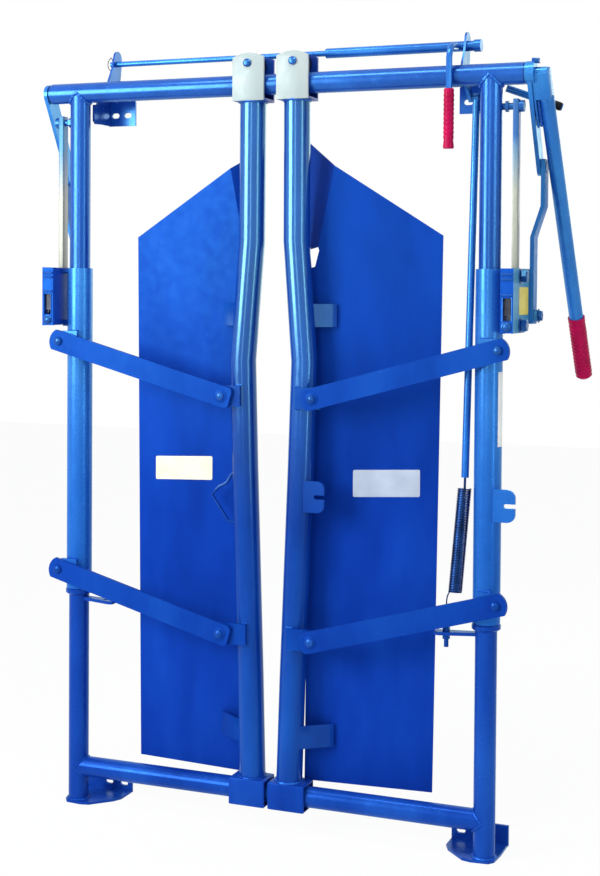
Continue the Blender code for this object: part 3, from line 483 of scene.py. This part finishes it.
def nut_on_washer(shape, place, direction, across, height, washer_r, washer_height=0.0016):
    """A chamfered hexagon nut on a washer that starts at the given place."""
    washer(shape, place, direction, washer_r, washer_height)
    corner = across / math.sqrt(3)
    profile = [
        (0, height), (corner * 0.86, height), (corner, height * 0.84), (corner, height * 0.16),
        (corner * 0.86, 0), (0, 0),
    ]
    turned(shape, profile, place + Vector(direction) * washer_height, direction, 6)


def bead(shape, points, radius, closed=True, seed=0):
    """A weld bead: a swept bar with small ripples."""
    fine = []
    count = len(points)
    spans = count if closed else count - 1
    for i in range(spans):
        start, end = points[i], points[(i + 1) % count]
        steps = max(1, round((end - start).length / 0.0032))
        fine += [start.lerp(end, j / steps) for j in range(steps)]
    if not closed:
        fine.append(points[-1])

    def ripple(i):
        return radius * (1 + 0.16 * math.sin(i * 2.1 + seed) + 0.07 * math.sin(i * 0.73 + 2 * seed))

    sweep(shape, fine, ripple, 6, closed)


def round_bar(centre, radius):
    """Points round an upright bar."""
    return [centre + Vector((radius * math.cos(a), radius * math.sin(a), 0)) for a in circle(28)]


def half_chord(radius, offset):
    """Half the width of a circle at an offset from its middle."""
    return math.sqrt(max(0.0, radius ** 2 - offset ** 2))


# Closing spring.
def closing_spring():
    """The coils, the hook at their lower end, and the rod at their upper end."""
    top, bottom = at(0.479, -0.0045, 0.853), at(0.463, -0.020, 0.614)
    wire, coil_r, pitch, steps = 0.00165, 0.0147, 0.0037, 14
    axis = (top - bottom).normalized()
    first = axis.orthogonal().normalized()
    second = axis.cross(first)
    length = (top - bottom).length
    count = int(length / pitch) * steps
    coils = []
    for i in range(count + 1):
        a = 2 * math.pi * i / steps
        level = bottom + axis * (length * i / count)
        coils.append(level + first * (coil_r * math.cos(a)) + second * (coil_r * math.sin(a)))
    hook = [
        at(0.452, -0.0205, 0.618), at(0.4455, -0.021, 0.606), at(0.4435, -0.022, 0.592),
        at(0.4435, -0.0225, 0.578), at(0.4435, -0.018, 0.572), at(0.4435, -0.013, 0.577),
    ]
    rod = [at(0.4790, -0.0045, 0.852), at(0.4792, -0.0040, 0.866), at(0.4795, -0.0040, 0.8785)]
    shape = bmesh.new()
    sweep(shape, coils, wire, 6)
    sweep(shape, smooth_path(hook), wire)
    sweep(shape, smooth_path(rod), 0.0030)
    obj = piece("closing_spring_coils", shape, None, "spring_steel")
    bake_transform(obj)
    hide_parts("closing_spring")


# Fasteners.
def link_fasteners():
    """A nut behind each end of every link, and a washer in front of its inner end."""
    for side, word in SIDES:
        for level, z in PIVOT_Z.items():
            for end, body, x, drop in (("pivot", "lift", PIVOT_X, 0.0), ("lug", "gate", LUG_X, LUG_DROP)):
                shape = bmesh.new()
                nut_on_washer(shape, at(side * x, LINK_BACK, z - drop), (0, 1, 0), 0.0190, 0.0075, 0.0125)
                piece(f"{word}_{level}_{end}_nut", shape, f"{word}_{body}", "bolt_paint")
            shape = bmesh.new()
            washer(shape, at(side * LUG_X, LINK_FRONT, z - LUG_DROP), (0, -1, 0), 0.0155, 0.0018)
            piece(f"{word}_{level}_link_washer", shape, f"{word}_{level}_arm", "gate_paint", "link_paint")


# Weld beads.
def frame_welds(side, word):
    """Where the post meets the beam, its foot and the sill."""
    x = side * POST_X
    beam, sill = [], []
    for a in circle(36):
        u, v = TUBE_R * math.cos(a), TUBE_R * math.sin(a)
        beam.append(at(x + u, v, BEAM_Z - half_chord(TUBE_R, v) - 0.001))
        sill.append(at(x - side * (half_chord(TUBE_R, u) + 0.001), u, SILL_Z + v))
    shape = bmesh.new()
    bead(shape, beam, 0.0042, seed=side)
    bead(shape, round_bar(at(x, 0, 0.0068), TUBE_R + 0.001), 0.0034, seed=side + 2)
    bead(shape, sill, 0.0028, seed=side + 5)
    piece(f"{word}_frame_welds", shape, "frame", "frame_paint", "weld_paint")


def sleeve_welds(side, word):
    """Above and below each pivot plate, and along the latch box's ends."""
    shape = bmesh.new()
    for z in PIVOT_Z.values():
        for edge in (-0.026, 0.026):
            points = [at(side * (POST_X - 0.013 + 0.030 * t), -0.0302, z + edge) for t in (0.0, 0.5, 1.0)]
            bead(shape, points, 0.0026, closed=False, seed=side)
    for z in (1.212, 1.348):
        for y in (-0.014, 0.014):
            wall = POST_X + half_chord(SLEEVE_R, y)
            bead(shape, [at(side * (wall + out), y, z) for out in (-0.001, 0.012)], 0.002, closed=False)
    piece(f"{word}_sleeve_welds", shape, f"{word}_lift", "sleeve_paint", "weld_paint")


def gate_welds(side, word):
    """Round the gate bar's ends, and above and below each lug."""
    shape = bmesh.new()
    for end, (x, z) in enumerate(((0.0570, 1.7572), (0.0477, 0.1228))):
        bead(shape, round_bar(at(side * x, 0, z), BAR_R + 0.0012), 0.0032, seed=side + end)
    for level, x in (("upper", 0.0712), ("lower", 0.0530)):
        for edge in (-0.0262, 0.0262):
            z = PIVOT_Z[level] - LUG_DROP + edge
            points = [at(side * (x + 0.012 * t), -0.0322, z) for t in (-0.15, 0.4, 1.0)]
            bead(shape, points, 0.0030, closed=False, seed=side)
    piece(f"{word}_gate_welds", shape, f"{word}_gate", "gate_paint", "weld_paint")


# Blank stickers.
def flat_label(name, corners, body, look):
    """A thin film with rounded corners between four corners, given in order."""
    a, b, c, d = corners
    normal = (b - a).cross(d - a).normalized()
    shape = bmesh.new()
    rows = []
    for offset in (0.0, LABEL_THICK):
        outline = []
        for corner, before, after in ((a, d, b), (b, a, c), (c, b, d), (d, c, a)):
            start = corner + (before - corner).normalized() * LABEL_CORNER
            end = corner + (after - corner).normalized() * LABEL_CORNER
            for i in range(4):
                t = i / 3
                outline.append(start * (1 - t) ** 2 + corner * 2 * t * (1 - t) + end * t ** 2)
        rows.append([shape.verts.new(p + normal * offset) for p in outline])
    back, front = rows
    shape.faces.new(back)
    shape.faces.new(front)
    for i in range(len(back)):
        j = (i + 1) % len(back)
        shape.faces.new((back[i], back[j], front[j], front[i]))
    piece(name, shape, body, "frame_paint", look)


def panel_label(side, word, corners, look):
    """A label on a panel's front, which leans away from the gate bar."""
    lean = math.tan(math.radians(4.7))
    places = [at(side * x, 0.0415 + (x - 0.080) * lean - 0.00152, z) for x, z in corners]
    flat_label(f"{word}_panel_label", places, f"{word}_gate", look)


def sleeve_label():
    """A label wrapped round the right sleeve."""
    shape = bmesh.new()
    spans = 10
    angles = [math.radians(-33 + 38 * i / spans) for i in range(spans + 1)]
    inner, outer = [
        [
            [shape.verts.new(at(POST_X + r * math.cos(a), r * math.sin(a), z)) for a in angles]
            for z in (0.9530, 1.1230)
        ]
        for r in (SLEEVE_R + LABEL_GAP, SLEEVE_R + LABEL_GAP + LABEL_THICK)
    ]
    for i in range(spans):
        for low_row, high_row in (inner, outer, (inner[0], outer[0]), (inner[1], outer[1])):
            shape.faces.new((low_row[i], low_row[i + 1], high_row[i + 1], high_row[i]))
    for i in (0, spans):
        shape.faces.new((inner[0][i], inner[1][i], outer[1][i], outer[0][i]))
    piece("sleeve_label", shape, "right_lift", "sleeve_paint", "pale_label")


def labels():
    left = ((0.346, 0.8240), (0.183, 0.8315), (0.183, 0.8905), (0.346, 0.8825))
    right = ((0.188, 0.8100), (0.3515, 0.8175), (0.3515, 0.8820), (0.188, 0.8750))
    panel_label(LEFT, "left", left, "cream_label")
    panel_label(RIGHT, "right", right, "grey_label")
    latch = ((-0.012, 1.2530), (0.077, 1.2530), (0.077, 1.3160), (-0.012, 1.3160))
    places = [at(LATCH_OUT + LABEL_GAP, y, z) for y, z in latch]
    flat_label("latch_label", places, "right_lift", "yellow_label")
    sleeve_label()


# Latch boxes.
def dome(shape, place, direction, radius, height):
    """A round bolt head."""
    angles = [math.pi / 2 * i / 6 for i in range(1, 7)]
    crown = [(radius * math.sin(a), height * math.cos(a)) for a in angles]
    turned(shape, [(0, height), *crown, (radius, -0.0004), (0, -0.0004)], place, direction, 20)


def latch_details(side, word):
    """Bolts through the latch box, ridges on its front, and a blade that shows in its window."""
    outward = (side, 0, 0)
    shape = bmesh.new()
    for z in (1.3405, 1.2290):
        nut_on_washer(shape, at(side * LATCH_OUT, 0.0, z), outward, 0.0260, 0.0150, 0.0170, 0.0025)
    nut_on_washer(shape, at(side * 0.6218, 0.105, 1.250), outward, 0.0235, 0.0070, 0.0165)
    bolt = at(side * LATCH_BOLT_X, LATCH_FRONT, LATCH_BOLT_Z)
    dome(shape, bolt - Vector((0, 0.0004, 0)), (0, -1, 0), 0.0105, 0.0065)
    washer(shape, bolt, (0, -1, 0), 0.0120, 0.0012)
    piece(f"{word}_latch_bolts", shape, f"{word}_lift", "bolt_paint")

    shape = bmesh.new()
    for z, radius in ((1.3440, 0.0030), (1.3330, 0.0030), (1.2975, 0.0026)):
        points = [at(side * x, LATCH_FRONT, z) for x in (0.5745, 0.6010)]
        bead(shape, points, radius, closed=False, seed=z * 40)
    for x in (0.5778, 0.5990):
        points = [at(side * x, LATCH_FRONT, z) for z in (1.2385, 1.2925)]
        bead(shape, points, 0.0013, closed=False, seed=x)
    piece(f"{word}_latch_ridges", shape, f"{word}_lift", "sleeve_paint", "weld_paint")

    shape = bmesh.new()
    blade = [at(side * x, -0.0500, z) for x, z in ((0.5955, 1.2440), (0.5885, 1.2640), (0.5830, 1.2890))]
    sweep(shape, smooth_path(blade, 8), 0.0022)
    piece(f"{word}_latch_blade", shape, f"{word}_lift", "bright_steel")


# Lever and selector.
def lever_point(distance):
    """A point on the lever's middle line, at a distance down it from the shaft."""
    tilt = math.radians(-61.8)
    return at(0.6502 + 0.034 * distance, distance * math.cos(tilt), BEAM_Z + distance * math.sin(tilt))


def lever_details():
    """The plug in the lever's top, its welds to the socket, and the bolt that holds the socket to the shaft."""
    ahead = (lever_point(1) - lever_point(0)).normalized()
    shape = bmesh.new()
    plug = [
        (0, 0.0065), (0.006, 0.0058), (0.011, 0.0040), (0.0152, 0.0010), (0.0175, -0.0030),
        (0.0175, -0.0045), (0, -0.0045),
    ]
    turned(shape, plug, lever_point(0.0585), -ahead)
    piece("lever_plug", shape, "lever_assembly", "lever_paint")

    shape = bmesh.new()
    outward = (Vector((1, 0, 0)) - ahead * ahead.x).normalized()
    for aside in (-1, 1):
        across = ahead.cross(outward) * aside
        points = [lever_point(s) - outward * 0.0170 + across * 0.0125 for s in (0.062, 0.095, 0.124)]
        bead(shape, points, 0.0036, closed=False, seed=aside)
    piece("lever_welds", shape, "lever_assembly", "lever_paint", "weld_paint")

    shape = bmesh.new()
    up = Vector((0.12, -0.25, 1)).normalized()
    nut_on_washer(shape, at(0.6335, -0.004, BEAM_Z + 0.0215), up, 0.0165, 0.0095, 0.0115, 0.0018)
    piece("collar_bolt", shape, "lever_assembly", "bolt_paint")


def hairpin():
    """The wire clip through the selector rod's left end."""
    rod_z, hole = 1.8735, 0.0035
    shape = bmesh.new()
    loop = [at(-0.4665, 0.050, rod_z + hole)]
    for angle in range(100, 261, 20):
        a = math.radians(angle)
        loop.append(at(-0.4670 + 0.0125 * math.cos(a), 0.046, rod_z + 0.0165 * math.sin(a)))
    loop.append(at(-0.4665, 0.050, rod_z - hole))
    sweep(shape, smooth_path(loop, 4), 0.0010)
    piece("hairpin", shape, "selector", "selector_paint", "dark_steel")


def peg_cap():
    """The black cap on the end of the peg that sticks out of the lever's collar."""
    start, end = at(0.555, 0.045, 1.772), at(0.676, 0.0865, 1.7285)
    along = (end - start).normalized()
    profile = [
        (0, 0.0005), (0.0070, 0.0), (0.0095, -0.0025), (0.0100, -0.006), (0.0100, -0.034),
        (0.0092, -0.036), (0, -0.036),
    ]
    shape = bmesh.new()
    turned(shape, profile, end - along * 0.0005, along)
    piece("peg_cap", shape, "lever_assembly", "grip_rubber", "cap_rubber")


closing_spring()
link_fasteners()
for side, word in SIDES:
    frame_welds(side, word)
    sleeve_welds(side, word)
    gate_welds(side, word)
labels()
for side, word in SIDES:
    latch_details(side, word)
lever_details()
hairpin()
peg_cap()


# Stage.
def camera():
    """A camera where the photograph was taken from. Its numbers were fitted to points on the gate."""
    yaw, pitch, roll = 0.37525, 0.02618, 0.00687
    rows, focal_rows, middle_row, sensor = 876, 1526.935, 326.52, 36
    ahead = Vector((-math.sin(yaw) * math.cos(pitch), math.cos(yaw) * math.cos(pitch), -math.sin(pitch)))
    right = Vector((math.cos(yaw), math.sin(yaw), 0))
    up = right.cross(ahead)
    across = right * math.cos(roll) + up * math.sin(roll)
    upward = up * math.cos(roll) - right * math.sin(roll)
    data = bpy.data.cameras.new("camera")
    data.lens = sensor * focal_rows / rows
    data.shift_y = -(rows / 2 - middle_row) / rows
    obj = bpy.data.objects.new("camera", data)
    bpy.context.scene.collection.objects.link(obj)
    turn = Matrix((across, upward, -ahead)).transposed().to_4x4()
    obj.matrix_world = Matrix.Translation(at(1.40618, -3.39744, 1.3139)) @ turn
    bpy.context.scene.camera = obj


def lamp(name, place, target, width, height, power, colour=(1, 1, 1)):
    data = bpy.data.lights.new(name, "AREA")
    data.shape = "RECTANGLE"
    data.size, data.size_y = width, height
    data.energy = power
    data.color = colour
    obj = bpy.data.objects.new(name, data)
    bpy.context.scene.collection.objects.link(obj)
    obj.location = place
    obj.rotation_euler = (target - place).to_track_quat("-Z", "Y").to_euler()


def seen_by_eye(tree):
    """1 for what the camera sees, straight or in a reflection."""
    path = tree.nodes.new("ShaderNodeLightPath")
    total = path.outputs["Is Camera Ray"]
    for name in ("Is Glossy Ray", "Is Transmission Ray"):
        total = combine(tree, "MAXIMUM", total, path.outputs[name])
    return total


def floor():
    """Pale paper that the camera sees nearly white, and that still takes the gate's shadow."""
    shape = bmesh.new()
    bmesh.ops.create_grid(shape, x_segments=8, y_segments=8, size=9.0)
    mesh = mesh_of(shape, "floor")
    obj = bpy.data.objects.new("floor", mesh)
    bpy.context.scene.collection.objects.link(obj)
    obj.location = (0, 0, -0.0005)
    made = Nodes("floor_paper")
    made.feed("Base Color", made.ramp(made.noise(3.0), [(0.3, (0.80, 0.80, 0.80)), (0.7, (0.84, 0.84, 0.84))]))
    made.hold("Roughness", 0.9)
    tree = made.tree
    glow = tree.nodes.new("ShaderNodeEmission")
    glow.inputs["Color"].default_value = (1, 1, 1, 1)
    glow.inputs["Strength"].default_value = 1.0
    mix = tree.nodes.new("ShaderNodeMixShader")
    made.join(combine(tree, "MULTIPLY", seen_by_eye(tree), 0.95), mix.inputs["Fac"])
    made.join(made.shader.outputs[0], mix.inputs[1])
    made.join(glow.outputs[0], mix.inputs[2])
    made.join(mix.outputs[0], tree.nodes["Material Output"].inputs["Surface"])
    mesh.materials.append(made.material)


def world():
    """White for the camera, and a soft blue grey that lights the gate."""
    made = bpy.data.worlds.new("studio")
    made.use_nodes = True
    tree = made.node_tree
    background = tree.nodes["Background"]
    mix = tree.nodes.new("ShaderNodeMix")
    mix.data_type = "RGBA"
    mix.inputs["A"].default_value = (0.40, 0.43, 0.48, 1)
    mix.inputs["B"].default_value = (1, 1, 1, 1)
    tree.links.new(seen_by_eye(tree), mix.inputs["Factor"])
    tree.links.new(mix.outputs["Result"], background.inputs["Color"])
    background.inputs["Strength"].default_value = 1.0
    bpy.context.scene.world = made


camera()
lamp("key", at(-1.9, -2.5, 1.9), at(0, 0, 1.05), 1.5, 1.8, 104)
lamp("fill", at(2.9, -1.3, 1.6), at(0, 0, 0.9), 0.35, 2.6, 20, (0.90, 0.96, 1.0))
lamp("front", at(0.35, -3.7, 1.9), at(0, 0, 1.2), 0.4, 2.4, 14)
lamp("top", at(0.1, -0.8, 3.1), at(0, 0, 1.1), 2.2, 0.35, 26)
lamp("back", at(0.6, 2.8, 2.0), at(0, 0, 0.9), 1.6, 2.0, 18)
floor()
world()
bpy.context.scene.view_settings.view_transform = "Standard"
